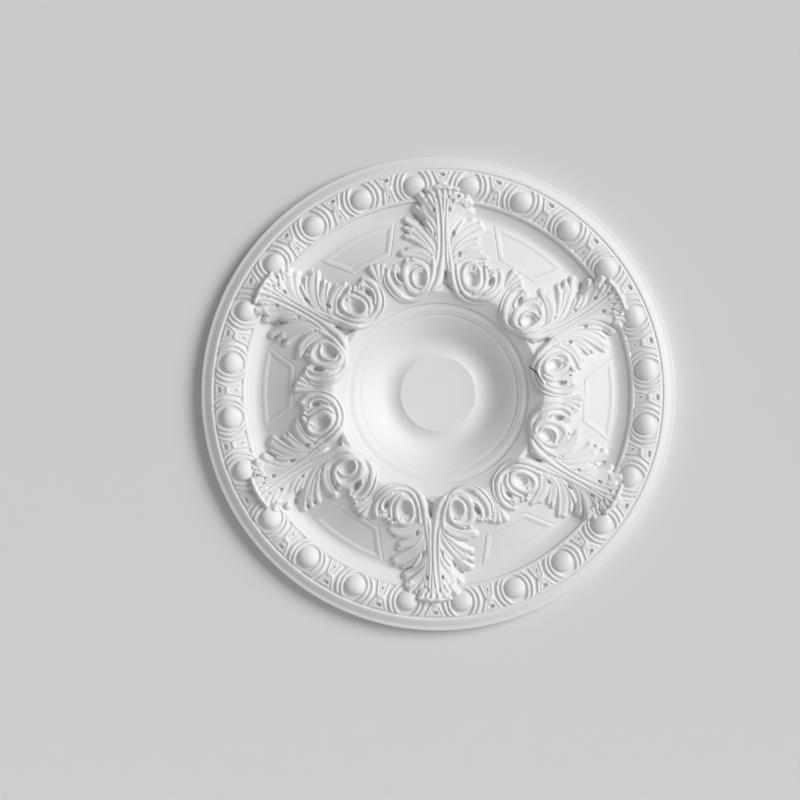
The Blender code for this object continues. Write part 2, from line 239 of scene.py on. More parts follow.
POCKET_DEPTH = 13
SILL_DEPTH = 6


def pocket_relief(x, y):
    """The three-cornered hollow at the leaf's foot, between its two stems, with a bevelled sill."""
    left, right, point = (4.8, 160.5), (25.5, 150.0), (9.6, 192.0)
    sill_end = (-7.0, 151.5)
    above_sill = inside_line(x, y, right, sill_end)
    right_in = inside_line(x, y, point, right)
    above_edge = inside_line(x, y, right, left)
    hollow = np.minimum.reduce([9 * inside_line(x, y, left, point), 4 * right_in, 5 * above_edge])
    sill = np.minimum.reduce([3 * inside_line(x, y, sill_end, left), 4 * right_in, 0.95 * above_sill])
    return -np.maximum(np.clip(hollow, 0, POCKET_DEPTH), np.clip(sill, 0, SILL_DEPTH))


EGG_PITCH = 15.0  # degrees from one egg to the next
EGG_HALF_WIDTH = 15.2
EGG_HALF_LENGTH = 14.6
EGG_RISE = 7.6
BAND_MIDDLE = 308.2  # radius that places across the band count from
DART_RADIUS = 309.5
# Each husk rim's half width and half length, its own half width, and its rise
HUSK_RIMS = [(19.3, 25.0, 2.7, 3.1), (26.4, 29.6, 2.5, 2.9)]
DART_EYES = [(12.2, 2.5, 5.4), (-13.0, 2.6, 5.4)]  # place across the band, radius, depth


def band_relief(turn, radius):
    """Eggs, each in a double husk, with a dart between neighbours that is drilled twice and tied."""
    local = np.radians((turn + 360) % EGG_PITCH - EGG_PITCH / 2)
    u = radius * np.sin(local)
    v = radius * np.cos(local) - BAND_MIDDLE

    def bead(away, half_width):
        return np.sqrt(1 - np.clip(np.abs(away) / half_width, 0, 1) ** 2)

    def off_oval(half_u, half_v):
        """Distance from the line of an oval, near enough."""
        reach = np.sqrt((u / half_u) ** 2 + (v / half_v) ** 2) + 1e-9
        slope = np.sqrt((u / half_u**2) ** 2 + (v / half_v**2) ** 2) / reach
        return (reach - 1) / (slope + 1e-9)

    egg_reach = (u / EGG_HALF_WIDTH) ** 2 + ((v + 0.8) / EGG_HALF_LENGTH) ** 2
    relief = np.where(egg_reach < 1, 1.0 + EGG_RISE * np.sqrt(np.clip(1 - egg_reach, 0, 1)), 0)
    closing = np.where(v < 0, 0.86, 1.0)  # the husks close more tightly on the inner side
    for half_u, half_v, half_width, rise in HUSK_RIMS:
        relief = np.maximum(relief, rise * bead(off_oval(half_u, half_v * closing), half_width))
    dart = np.radians(EGG_PITCH / 2) * DART_RADIUS - np.abs(u)  # distance from the dart's middle line
    arm = bead(dart - 4.6 - 0.32 * np.abs(v), 1.6)
    relief = np.maximum(relief, 2.3 * arm)
    web = np.clip(1 - dart / (5 + 0.36 * np.abs(v)), 0, 1)
    relief = np.maximum(relief, 1.8 * np.sqrt(web))
    tie = np.clip(1 - (dart / 7.2) ** 4, 0, 1) * bead(v, 3.8)
    relief = np.maximum(relief, 3.5 * tie * (1 - 0.14 * np.cos(2 * math.pi * v / 2.5)))
    for at, size, depth in DART_EYES:
        hole = np.clip(1 - (dart**2 + (v - at) ** 2) / size**2, 0, 1)
        relief -= depth * np.sqrt(hole)
    inside_band = part_of(radius, 288.3, 290.5) * (1 - part_of(radius, 327.6, 329.6))
    return relief * inside_band


def smooth_line(places, step=0.7):
    """A smooth line through places: its points, and how far on each one is, from 0 to 1."""
    line = np.array(places, float)
    padded = np.vstack([2 * line[0] - line[1], line, 2 * line[-1] - line[-2]])
    points, along = [], []
    for i in range(len(line) - 1):
        a, b, c, d = padded[i:i + 4]
        count = max(2, int(np.linalg.norm(c - b) / step))
        for t in np.arange(count) / count:
            bend = 2 * a - 5 * b + 4 * c - d + t * (3 * (b - c) + d - a)
            points.append(b + 0.5 * t * (c - a + t * bend))
            along.append(i + t)
    points.append(line[-1])
    along.append(len(line) - 1)
    return np.array(points), np.array(along) / (len(line) - 1)


def dome(s):
    """A half circle. These sections take 0 at a stroke's middle line and 1 at its edge."""
    return np.sqrt(np.clip(1 - s**2, 0, 1))


def roll(s):
    """A scroll's soft round, lower on its flanks than a half circle."""
    return np.clip(1 - s**2, 0, 1) ** 0.8


def finger(s):
    """An acanthus finger: a soft ridge that runs out into the hollow beside it."""
    return 0.42 + 0.58 * np.cos(np.clip(s, 0, 1) * math.pi / 2) ** 2


def blade(s):
    """The flesh that joins fingers into one lobe."""
    return 1 - 0.45 * s**4


def eased(share, low, high):
    """A straight ramp from 0 to 1 whose two ends curve into the level."""
    steepness = 1 / (1 - low / 2 - high / 2)
    start = steepness * share**2 / (2 * low)
    end = 1 - steepness * (1 - share) ** 2 / (2 * high)
    middle = steepness * (share - low / 2)
    return np.where(share < low, start, np.where(share > 1 - high, end, middle))


LEAF_LENGTH = 147
LEAF_DIP = 0.78  # share of its length at which the leaf lies lowest, before its tip turns up


def leaf_bed(x, y):
    """The face with the leaf's arched bed, which falls from its middle line to both sides."""
    radius = np.hypot(x, y)
    face = face_height(radius)
    along = np.clip((radius - RING_RADIUS) / LEAF_LENGTH, 0, 1)
    down = RING_HEIGHT - 26 * eased(np.clip(along / LEAF_DIP, 0, 1), 0.1, 0.6)
    up = 32 + 5.5 * np.clip((along - LEAF_DIP) / 0.22, 0, 1) ** 2
    crest = np.where(along < LEAF_DIP, down, up)
    arch = np.exp(-(((x - 6.0) / 30.0) ** 2))
    return face + np.maximum(crest - face, 0) * arch * (radius > RING_RADIUS)


def scroll_bed(x, y):
    """The scrolls lie flatter than the field they spread over."""
    radius = np.hypot(x, y)
    flatter = np.where(radius > RING_RADIUS, 56.5 - 0.24 * (radius - RING_RADIUS), 0)
    return np.maximum(face_height(radius), flatter)


WALL = 3.2  # how steeply a carved edge falls, as rise over run
STROKE_REACH = 8  # how far beyond a stroke's edge that wall is laid


class Relief:
    """The heights of one sector over its whole grid, on which the carver's strokes are laid."""

    def __init__(self, turns, radii):
        self.turn, self.radius = np.meshgrid(turns, radii)
        self.x, self.y = flat_place(self.turn + EGG_AXIS, self.radius * SEEN_SCALE)
        self.height = face_height(self.radius) + band_relief(self.turn, self.radius)
        self.height += panel_relief(self.turn, self.radius)
        self.height += panel_relief(self.turn + SECTOR_TURN, self.radius)
        self.height += pocket_relief(self.x, self.y)

    def near(self, line, reach):
        """Distance and place along a line for the points of the grid near it."""
        low, high = line.min(0) - reach, line.max(0) + reach
        mask = (self.x > low[0]) & (self.x < high[0]) & (self.y > low[1]) & (self.y < high[1])
        if not mask.any():
            return None
        rows, columns = np.nonzero(mask)
        spots = np.column_stack([self.x[rows, columns], self.y[rows, columns]])
        away = np.full(len(spots), np.inf)
        where = np.zeros(len(spots))
        for i in range(len(line) - 1):
            start, run = line[i], line[i + 1] - line[i]
            t = np.clip(((spots - start) @ run) / (run @ run), 0, 1)
            gap = spots - start - t[:, None] * run
            distance = np.sqrt((gap**2).sum(1))
            closer = distance < away
            away = np.where(closer, distance, away)
            where = np.where(closer, i + t, where)
        return rows, columns, away, where

    def turned_copies(self, line):
        """The line in this sector and as the two neighbouring sectors carry it."""
        for turn in (-SECTOR_TURN, 0, SECTOR_TURN):
            angle = math.radians(turn)
            spin = np.array([[math.cos(angle), -math.sin(angle)], [math.sin(angle), math.cos(angle)]])
            yield turn, line @ spin

    def stroke(self, places, widths, rises, section=dome, bed=leaf_bed):
        """Lays a carved form along places. Widths are half widths and rises stand above the bed."""
        line, along = smooth_line(places)
        width = np.interp(along, np.linspace(0, 1, len(widths)), widths)
        rise = np.interp(along, np.linspace(0, 1, len(rises)), rises)
        level = bed(line[:, 0], line[:, 1])
        spots = np.arange(len(line))
        for _, copy in self.turned_copies(line):
            found = self.near(copy, width.max() + STROKE_REACH)
            if found is None:
                continue
            rows, columns, away, where = found
            half = np.interp(where, spots, width)
            top = np.interp(where, spots, level)
            top += np.interp(where, spots, rise) * section(np.clip(away / half, 0, 1))
            top -= WALL * np.clip(away - half, 0, None)
            self.height[rows, columns] = np.maximum(self.height[rows, columns], top)

    def pit(self, x, y, across, along, depth, lean=0.0):
        """A drilled eye or gouged hollow, its length leaning clockwise from straight out."""
        for turn, place in self.turned_copies(np.array([[x, y]], float)):
            angle = math.radians(turn + lean)
            dx, dy = self.x - place[0, 0], self.y - place[0, 1]
            u = dx * math.cos(angle) - dy * math.sin(angle)
            v = dx * math.sin(angle) + dy * math.cos(angle)
            inside = np.clip(1 - (u / across) ** 2 - (v / along) ** 2, 0, 1)
            self.height -= depth * np.sqrt(inside)


row_radii = np.unique(np.round(np.concatenate([
    np.arange(INNER_SEAM, 216, ROW),
    np.arange(216, 288, FIELD_ROW),
    np.arange(288, OUTER_SEAM + 0.01, ROW),
    [OUTER_SEAM],
]), 3))
# One more row and column on every side, from which the slopes at the seams are worked out.
column_turns = SECTOR_START + COLUMN * np.arange(-1, round(SECTOR_TURN / COLUMN) + 2)
padded_radii = np.concatenate([[INNER_SEAM - ROW], row_radii, [OUTER_SEAM + ROW]])
carving = Relief(column_turns, padded_radii)

# Beds under the scrolls, so that nothing between their bands falls through to the field.
for places, half_width, rise in (
    ([(-33, 164), (-33, 181)], 15, 0.4),
    ([(-61, 179), (-58, 168), (-52, 157)], 8, 1.6),
    ([(49, 163), (49, 180)], 13, 0.4),
    ([(80, 175), (77, 165), (69, 153)], 8, 1.6),
):
    carving.stroke(places, [half_width], [rise], blade, scroll_bed)

# Scrolls. On each side a stem leaves the leaf's foot, rolls out along the ring into the husk and its
# thin outer rim, and a volute with a hollow eye curls up inside it. Each is places, half widths, rises.
SCROLLS = [
    ([(-7.5, 196), (-7, 186), (-8, 176), (-11, 166), (-15.5, 156), (-21, 148.5), (-28, 143), (-36, 139.8),
      (-44, 140), (-53, 143), (-61, 149), (-68, 157), (-73, 166.5), (-75, 176), (-73, 184)],
     [3.6, 4.0, 4.4, 4.6, 5.0, 5.0, 4.8, 3.4], [3.2, 4.2, 4.4, 4.4, 4.4, 4.4, 4.2, 3.0]),
    ([(-36, 135), (-44, 134.3), (-51, 135.6), (-58, 138.6), (-66, 144.5), (-73.5, 152.8), (-79, 163),
      (-80.8, 174)],
     [1.3, 1.6, 1.7, 1.7, 1.4], [1.6, 2.8, 3.0, 3.0, 2.4]),
    ([(-49.5, 172), (-47.5, 162), (-42, 154), (-34, 149.8), (-26, 150.6), (-20, 155.5), (-16.8, 163),
      (-15.8, 172), (-17, 180), (-21, 187), (-28, 191.5), (-37, 193), (-45, 190), (-49.5, 182),
      (-49.5, 172)],
     [6.0, 5.8, 5.2, 4.8, 4.2, 4.0, 4.2, 4.6, 5.0, 6.0, 6.6, 6.0], [4.6]),
    ([(-25, 184.5), (-33, 182.5), (-38, 176), (-38.3, 168), (-35.3, 161), (-30, 157.3), (-24, 157)],
     [3.0, 3.4, 3.2, 3.1, 2.9, 2.4], [4.4, 5.0, 4.8, 4.6, 4.2, 3.4]),
    ([(-65.2, 181), (-64, 173.5), (-61, 166.5), (-57, 162), (-52.5, 160.5)],
     [1.8, 2.2, 2.2, 1.8], [4.4, 4.8, 4.8, 4.0]),
    ([(18.6, 192), (19.8, 180), (21.3, 168), (24.5, 157), (29, 148), (35, 141.8), (42, 137.2),
      (50, 134.4), (60, 133.1), (68, 133.5), (76, 136.2), (84, 141.7), (90, 148.5), (94, 156.5)],
     [4.0, 4.3, 4.2, 3.6, 2.6, 1.9, 1.7, 1.7, 1.6, 1.4], [3.6, 4.4, 4.4, 3.6, 3.0, 3.0, 3.0, 3.0, 2.4]),
    ([(27.2, 190), (27.8, 178), (29.3, 167.5), (32.3, 158), (37, 150), (44, 144.3), (52, 141.5),
      (60, 140.3), (69, 141.5), (77, 145.3), (84, 151.3), (89, 158.3), (92, 166), (92.3, 174),
      (90.5, 181)],
     [2.8, 3.0, 3.1, 3.4, 4.0, 4.8, 5.0, 4.8, 3.0], [3.6, 4.4, 4.4, 4.4, 4.4, 4.4, 4.2, 3.0]),
    ([(37, 181), (36.4, 173), (37.6, 165.5), (41, 158.8), (47, 154.4), (54, 154.6), (59.3, 159),
      (61.8, 166), (62, 175), (60.5, 183), (56, 189.5), (49, 191.5), (41.5, 188.5), (37, 181)],
     [3.8, 4.2, 4.6, 4.8, 4.8, 4.6, 4.4, 4.2, 3.8], [4.6]),
    ([(69.5, 184), (70.6, 175), (70.2, 165), (67, 156.5), (61.5, 150.8), (54, 148.4)],
     [2.6, 3.4, 3.8, 3.6, 2.8], [3.4, 4.4, 4.4, 4.2, 3.2]),
    ([(78, 174.5), (83, 171.5), (84, 164), (80.5, 156.5), (75, 151), (68, 147.2)],
     [2.2, 2.6, 2.7, 2.6, 2.0], [4.4, 4.8, 4.8, 4.6, 3.8]),
]
for places, widths, rises in SCROLLS:
    carving.stroke(places, widths, rises, roll, scroll_bed)

# The leaf's own flesh, from its foot to the strap under its tip, and one blade to a lobe.
BLADES = [
    ([(5, 190), (6, 230), (6, 262), (6, 287)], [9, 10, 11, 12], [1.0, 1.0, 1.5, 2.5]),
    ([(-9, 297), (21, 297)], [8], [3.2]),
    ([(-4, 187), (-12, 197), (-24, 204), (-38, 207.5), (-50, 206)],
     [3, 6, 8, 7.5, 5], [1.0, 3.0, 4.2, 5.2, 5.8]),
    ([(-4, 200), (-14, 217), (-27, 230), (-38, 238)], [3, 6, 8.5, 8.5], [1.0, 2.4, 3.6, 4.8]),
    ([(2, 225), (-4, 246), (-12, 262), (-20, 278)], [3, 6, 8, 7], [1.0, 2.4, 3.6, 4.6]),
    ([(17, 190), (29, 198), (45, 202), (60, 203.5), (67, 202.5)],
     [3, 7, 8, 6.5, 3.5], [1.0, 2.6, 3.8, 4.6, 4.8]),
    ([(17, 198), (26, 208), (36, 217), (46, 222), (53, 225)],
     [2.5, 5, 6.5, 6, 4], [1.0, 2.6, 3.8, 4.8, 5.4]),
    ([(17, 207), (23, 219), (32, 230), (44, 239), (55, 245), (61, 247)],
     [2.5, 5, 8, 8.5, 8, 5.5], [1.0, 2.6, 3.8, 4.8, 5.4, 5.8]),
    ([(12, 232), (15, 252), (21, 266), (30, 277), (38, 284)], [2, 4.5, 7, 9, 8], [1.0, 2.6, 3.8, 4.8, 5.2]),
]
for places, widths, rises in BLADES:
    carving.stroke(places, widths, rises, blade)

# Fingers of the lobes, the left side's from the foot up and then the right side's.
FINGERS = [
    ([(-6, 189), (-16, 197), (-28, 202.5), (-42, 205), (-53, 206)],
     [2.4, 4.2, 5.2, 5.4, 6.0], [1.5, 3.0, 4.5, 5.5, 7.0]),
    ([(-5, 195), (-12, 204), (-22, 210), (-34, 213), (-44, 213.5)],
     [2.2, 3.8, 4.4, 3.6], [1.5, 3.2, 4.8, 5.6]),
    ([(-4, 199), (-9, 208), (-15, 213.5), (-22, 217)], [2.0, 3.2, 3.6, 3.2], [1.5, 3.2, 4.6, 5.2]),
    ([(-7, 188), (-7.8, 197), (-11, 206), (-18, 215), (-28, 223), (-39, 229.5), (-47.5, 232)],
     [3.6, 3.8, 4.6, 6.0, 7.0, 6.8, 5.0], [3.6, 3.4, 3.4, 4.2, 5.2, 6.2, 7.0]),
    ([(-5, 200), (-11, 212), (-20, 223.5), (-30, 233.5), (-40, 241), (-48.5, 245)],
     [2.0, 3.4, 4.8, 5.2, 5.2, 4.2], [1.5, 3.0, 4.4, 5.4, 6.4, 7.0]),
    ([(-2, 200), (-7, 214), (-16, 228), (-27, 240.5), (-38, 250), (-47, 256.5)],
     [2.6, 4.6, 6.4, 7.2, 7.2, 5.6], [1.5, 2.8, 4.2, 5.4, 6.4, 7.2]),
    ([(-6, 225), (-12, 236), (-18, 244.5)], [2.0, 3.6, 3.4], [1.5, 3.4, 4.8]),
    ([(0, 212), (-3, 226), (-8, 239), (-13, 248), (-17.5, 254)],
     [1.8, 3.6, 5.0, 5.0, 4.0], [1.5, 3.0, 4.4, 5.6, 6.4]),
    ([(2, 215), (-1, 235), (-6, 249), (-13, 259.5), (-22, 269), (-32, 277)],
     [1.8, 3.6, 5.4, 6.4, 6.6, 5.0], [1.5, 2.8, 4.0, 5.0, 6.0, 6.6]),
    ([(3, 230), (0, 252), (-5, 266), (-12, 277), (-20, 288), (-27, 296)],
     [1.8, 3.6, 6.0, 7.4, 7.4, 5.6], [1.5, 2.4, 3.6, 4.6, 5.6, 6.4]),
    ([(2, 250), (-1, 266), (-6, 278), (-11, 287), (-15.5, 293)],
     [1.8, 3.4, 4.6, 5.0, 4.0], [1.5, 3.0, 4.6, 5.8, 6.6]),
    ([(20, 190), (27, 199.5), (37, 206), (49, 209.5), (62, 209.5)],
     [2.4, 4.2, 5.0, 5.0, 3.6], [1.5, 3.0, 4.4, 5.2, 5.6]),
    ([(22, 184), (32, 193), (43, 199), (55, 201.5), (71, 200.5)],
     [2.4, 4.2, 4.8, 4.6, 3.4], [1.5, 3.0, 4.2, 5.0, 5.6]),
    ([(30, 208), (38, 213.5), (48, 218), (58, 221.5)], [2.0, 3.2, 3.8, 3.4], [2.0, 3.6, 5.0, 6.0]),
    ([(33, 216), (41, 221), (50, 225.5), (59, 229)], [2.4, 3.6, 4.0, 3.6], [2.6, 4.2, 5.6, 6.6]),
    ([(26.8, 186), (24.6, 195), (23.2, 204), (24.5, 213), (31, 222.5), (42, 231.5), (54, 238.5),
      (65.5, 244.5)],
     [3.0, 3.0, 3.0, 3.4, 4.2, 5.0, 5.2, 4.4], [3.2, 2.6, 2.6, 3.4, 4.6, 5.4, 6.0, 6.6]),
    ([(20, 213), (28, 229), (39, 240.5), (51, 248), (62, 252)],
     [2.2, 4.6, 5.8, 5.6, 4.4], [1.5, 3.2, 4.8, 6.0, 6.8]),
    ([(23, 226), (31, 241), (40, 250), (51, 256)], [2.0, 4.0, 4.8, 4.0], [2.0, 4.0, 5.6, 6.4]),
    ([(16, 210), (20.5, 226), (26, 239), (31, 248), (35.5, 254.5)],
     [2.2, 3.6, 4.6, 5.0, 4.0], [1.5, 3.0, 4.6, 5.8, 6.6]),
    ([(12, 222), (16, 240), (22.5, 253), (32, 262), (41, 268), (47, 270.5)],
     [2.0, 4.2, 6.2, 7.6, 7.4, 6.0], [1.5, 2.6, 3.8, 5.0, 6.0, 6.6]),
    ([(15.5, 250), (24.5, 265.5), (35, 276.5), (46.5, 284)], [1.8, 3.6, 4.8, 4.4], [1.5, 3.2, 5.0, 6.2]),
    ([(14.5, 250), (21.5, 268), (31.5, 282), (42.5, 292.5)], [1.8, 3.6, 4.8, 4.4], [1.5, 3.2, 5.0, 6.2]),
    ([(12.8, 252), (17, 268), (24, 282), (33, 293.5)], [1.8, 3.4, 4.4, 4.2], [1.5, 3.2, 5.0, 6.2]),
    ([(12.2, 256), (15.6, 270), (20.5, 280), (25.5, 287)], [1.6, 3.0, 4.0, 3.8], [1.5, 3.0, 4.6, 5.8]),
]
for places, widths, rises in FINGERS:
    carving.stroke(places, widths, rises, finger)

# The stem's flutes. The second runs on down past the pocket and out under the left-hand scroll.
FLUTES = [
    ([(-4.6, 189), (-2.4, 199), (-0.8, 212), (-0.3, 228), (-1, 250), (-3, 275), (-6, 292), (-13, 302)],
     [2.6, 2.6, 2.2, 2.0, 2.2, 2.6, 3.2, 3.4], [1.0, 2.4, 3.2, 3.4, 3.6, 4.2, 4.8, 5.6]),
    ([(-22, 144.5), (-14, 150), (-8, 155), (-2.5, 162), (1.5, 172), (3, 182), (4.4, 191), (5.8, 201),
      (6.6, 218), (6.5, 245), (4.6, 272), (2, 290), (-1, 303)],
     [1.6, 3.0, 3.8, 4.2, 4.4, 4.2, 3.6, 3.0, 2.6, 2.3, 2.3, 2.5, 3.0],
     [0.4, 2.0, 3.2, 3.6, 3.4, 3.2, 3.2, 3.2, 3.4, 3.6, 4.0, 4.8, 5.6]),
    ([(7, 250), (8.3, 272), (8.6, 290), (8.6, 303)], [1.2, 1.8, 2.3, 3.0], [2.6, 3.8, 4.8, 5.6]),
    ([(20.5, 174), (16.6, 181), (14, 190), (12.6, 202), (12.4, 218), (12, 245), (12.5, 272), (14, 288),
      (17, 303)],
     [1.6, 1.9, 2.0, 2.2, 2.4, 2.2, 2.3, 2.6, 3.0], [0.6, 2.4, 3.0, 3.2, 3.4, 3.6, 4.0, 4.8, 5.6]),
    ([(19.8, 182), (18.6, 192), (17.2, 202), (15.6, 213), (14.6, 226), (14.2, 242), (15.5, 262), (17.5, 280),
      (24.5, 301.5)],
     [3.8, 3.6, 3.4, 2.8, 2.2, 1.8, 2.0, 2.6, 3.2], [3.4, 3.2, 3.0, 3.2, 3.2, 3.2, 3.6, 4.4, 5.6]),
]
for places, widths, rises in FLUTES:
    carving.stroke(places, widths, rises)

# The tip rolls over into a short bar.
tip_bar = [(-17, 302.8), (-6, 304.6), (6, 305.2), (18, 304.4), (27.5, 302.6)]
carving.stroke(tip_bar, [3.6, 2.7, 3.4, 2.7, 3.4, 2.7, 3.8], [7.6, 5.4, 7.2, 5.2, 7.2, 5.4, 7.6])

# Small rolled ends of the husks and lobes: place, half width and rise.
KNOBS = [
    (-64, 186, 3.4, 3.6), (-70, 185, 3.0, 3.0), (-76, 185, 2.8, 2.6),
    (-46.5, 196, 3.2, 3.8), (-38, 197, 3.0, 3.4),
    (73.5, 185, 3.2, 3.6), (68.5, 190.5, 3.2, 3.6), (81.5, 177, 3.2, 3.6), (87, 180, 2.8, 3.0),
    (54.5, 185.5, 3.6, 4.2), (63, 190, 3.2, 3.6),
]
for x, y, size, rise in KNOBS:
    carving.stroke([(x - 0.4, y), (x + 0.4, y)], [size], [rise], dome, scroll_bed)

# A low fluted fan that fills the gap between this sector's husk and its neighbour's.
FAN = [
    [(-99, 184.5), (-94, 175), (-88, 164)],
    [(-90.5, 187), (-88.5, 176), (-86, 164)],
    [(-82, 186.5), (-83, 176), (-84, 164)],
]
for places in FAN:
    carving.stroke(places, [4.0, 3.2, 1.2], [2.0, 1.6, 0.4], roll, scroll_bed)

# Bowls, slots and drilled eyes: place across and out, half width, half length, depth and lean.
HOLLOWS = [
    (-26.4, 168.6, 8.4, 10.6, 8.5, 8), (-57.5, 172.0, 3.8, 7.6, 10.0, -36),
    (-11.0, 204.5, 1.6, 2.6, 3.0, -30), (-6.0, 236.0, 1.7, 4.0, 4.5, -6),
    (-6.5, 272.5, 2.2, 3.4, 6.0, 0), (-2.5, 291.5, 1.5, 3.4, 4.0, -10),
    (48.4, 168.6, 8.2, 10.8, 8.5, 8), (76.8, 164.6, 3.0, 6.4, 9.0, 18),
    (31.2, 205.8, 2.6, 4.6, 7.0, 14), (22.6, 237.0, 2.3, 5.4, 6.5, 8),
    (16.6, 273.0, 2.4, 4.0, 6.5, 6), (15.0, 291.5, 1.7, 3.4, 4.5, 15),
    (20.3, 286.0, 1.9, 2.8, 4.5, 30), (30.0, 293.0, 2.2, 2.8, 4.0, 30),
    (-26.0, 189.5, 0.9, 3.0, 1.2, 60), (52.0, 186.0, 3.2, 1.0, 1.6, 0),
    (-24.0, 253.5, 1.6, 4.4, 4.0, -36), (-41.0, 196.0, 6.0, 1.0, 2.5, 4),
    (-33.0, 263.0, 2.6, 6.0, 5.0, -50), (-48.0, 250.8, 1.6, 4.0, 4.0, -62),
    (-47.0, 238.4, 1.6, 4.6, 4.0, -66),
]
for hollow in HOLLOWS:
    carving.pit(*hollow)
carving.height = np.minimum(carving.height, TOP)

# One sector has a hairline crack across the foot of its right-hand husk.
CRACKED_SECTOR = 1
CRACK_HALF_WIDTH = 0.75
CRACK_DEPTH = 1.2
crack_places = [(32, 136.5), (37, 137.6), (42, 139.8), (47, 140.8), (55, 140.8), (66, 141.3)]
crack_line, _ = smooth_line(crack_places)
crack_rows, crack_columns, crack_away, crack_along = carving.near(crack_line, 2.0)
# The crack's mask both sinks the surface and paints shade, near black, into its colour.
crack = np.zeros_like(carving.height)
crack_fade = np.clip(np.minimum(crack_along, len(crack_line) - 1 - crack_along) / 4, 0, 1)
crack_share = np.clip(1.6 - crack_away / CRACK_HALF_WIDTH, 0, 1)
crack[crack_rows, crack_columns] = crack_share * (0.4 + 0.6 * crack_fade)

# The sector is repeated round the rose. Normals come from its slopes, so that no seam or facet shows.
inner = (slice(1, -1), slice(1, -1))
radius = carving.radius[inner]
crack = crack[inner]
rows, columns = radius.shape
grid = np.arange(rows * columns).reshape(rows, columns)
sector_faces = np.stack([grid[:-1, :-1], grid[:-1, 1:], grid[1:, 1:], grid[1:, :-1]], -1).reshape(-1, 4)
sector_faces = sector_faces.tolist()
slope_out = np.gradient(carving.height, padded_radii, axis=0)[inner]
slope_round = (np.gradient(carving.height, np.radians(column_turns), axis=1) / carving.radius)[inner]

sectors = []
for index in range(SECTOR_COUNT):
    cracked = crack * (index == CRACKED_SECTOR)
    height = carving.height[inner] - CRACK_DEPTH * cracked
    turn = np.radians(carving.turn[inner] + EGG_AXIS + index * SECTOR_TURN)
    place = np.stack([radius * np.sin(turn), -height, radius * np.cos(turn)], -1).reshape(-1, 3)
    lean = np.stack([
        -slope_out * np.sin(turn) - slope_round * np.cos(turn),
        -np.ones_like(turn),
        -slope_out * np.cos(turn) + slope_round * np.sin(turn),
    ], -1).reshape(-1, 3)
    lean /= np.linalg.norm(lean, axis=1)[:, None]
    sector = piece_from(f"ornament_{index + 1}", place, sector_faces, lean)
    # The crack mark carries the painted shade in the crack to the finish.
    mark = sector.data.attributes.new("crack", "FLOAT", "POINT")
    mark.data.foreach_set("value", cracked.ravel().astype(np.float32))
    sectors.append(sector)


# Finish. The cast is white foam under a matt primer, a little uneven in tone, with a fine grain. The
# hairline crack has painted shade in it, near black.
class Line:
    """A shader socket that can be reckoned with."""

    def __init__(self, tree, socket):
        self.tree = tree
        self.socket = socket

    def maths(self, operation, *values):
        node = self.tree.nodes.new("ShaderNodeMath")
        node.operation = operation
        for entry, value in zip(node.inputs, values):
            if isinstance(value, Line):
                self.tree.links.new(value.socket, entry)
            else:
                entry.default_value = value
        return Line(self.tree, node.outputs[0])

    def __add__(self, other):
        return self.maths("ADD", self, other)

    def __mul__(self, other):
        return self.maths("MULTIPLY", self, other)

    __radd__ = __add__
    __rmul__ = __mul__


class Finish:
    """A material under construction, on one Principled shader."""

    def __init__(self, name):
        self.material = bpy.data.materials.new(name)
        self.material.use_nodes = True
        self.tree = self.material.node_tree
        self.shader = self.tree.nodes["Principled BSDF"]

    def node(self, kind, settings=None, values=None, output=0):
        made = self.tree.nodes.new(kind)
        for key, value in (settings or {}).items():
            setattr(made, key, value)
        for key, value in (values or {}).items():
            if isinstance(value, Line):
                self.tree.links.new(value.socket, made.inputs[key])
            else:
                made.inputs[key].default_value = value
        return Line(self.tree, made.outputs[output])

    def feed(self, socket, value):
        if isinstance(value, Line):
            self.tree.links.new(value.socket, self.shader.inputs[socket])
        else:
            self.shader.inputs[socket].default_value = value


primed = Finish("white_primed_cast")
where = primed.node("ShaderNodeTexCoord", output="Object")


def unevenness(scale, detail, roughness):
    """Soft noise over the rose, finer as its scale is larger."""
    values = {"Vector": where, "Scale": scale, "Detail": detail, "Roughness": roughness}
    return primed.node("ShaderNodeTexNoise", values=values)


def mixed(share, first, second):
    """The first colour turning into the second, by the share."""
    values = {"Factor": share, 6: first, 7: second}
    return primed.node("ShaderNodeMix", {"data_type": "RGBA"}, values, output=2)


PRIMER_DULL = (0.775, 0.775, 0.775, 1)
PRIMER_BRIGHT = (0.855, 0.855, 0.855, 1)
# Near black: painted shade inside the hairline crack.
CRACK_PAINTED_SHADE = (0.03, 0.03, 0.03, 1)
cloud = unevenness(9.0, 4.0, 0.55)
grain = unevenness(420.0, 3.0, 0.6)
pores = unevenness(90.0, 2.0, 0.5)
# The crack mark paints shade into the crack's colour, over the primer's uneven tone.
crack_shade = primed.node("ShaderNodeAttribute", {"attribute_name": "crack"}, output="Fac")
tone_and_crack_shade = mixed(crack_shade, mixed(cloud, PRIMER_DULL, PRIMER_BRIGHT), CRACK_PAINTED_SHADE)
primed.feed("Base Color", tone_and_crack_shade)
primed.feed("Roughness", 0.50 + 0.14 * pores)
primed.feed("Specular IOR Level", 0.4)
roughened = {"Strength": 0.10, "Distance": 0.0006, "Height": grain + 0.6 * pores}
primed.feed("Normal", primed.node("ShaderNodeBump", values=roughened))
for piece in [middle_and_funnel, rim_and_back] + sectors:
    piece.data.materials.append(primed.material)


# Stage: a pale wall that the rose is fixed to, a pale floor far below it, one far soft lamp to the
# right and a little above, and even light from the room.
def flat_finish(name, colour):
    finish = Finish(name)
    finish.feed("Base Color", colour)
    finish.feed("Roughness", 0.9)
    finish.feed("Specular IOR Level", 0.2)
    return finish


def staged(name, vertices, faces, finish):
    mesh = bpy.data.meshes.new(name)
    mesh.from_pydata(vertices, [], faces)
    mesh.materials.append(finish.material)
    made = bpy.data.objects.new(name, mesh)
    bpy.context.scene.collection.objects.link(made)


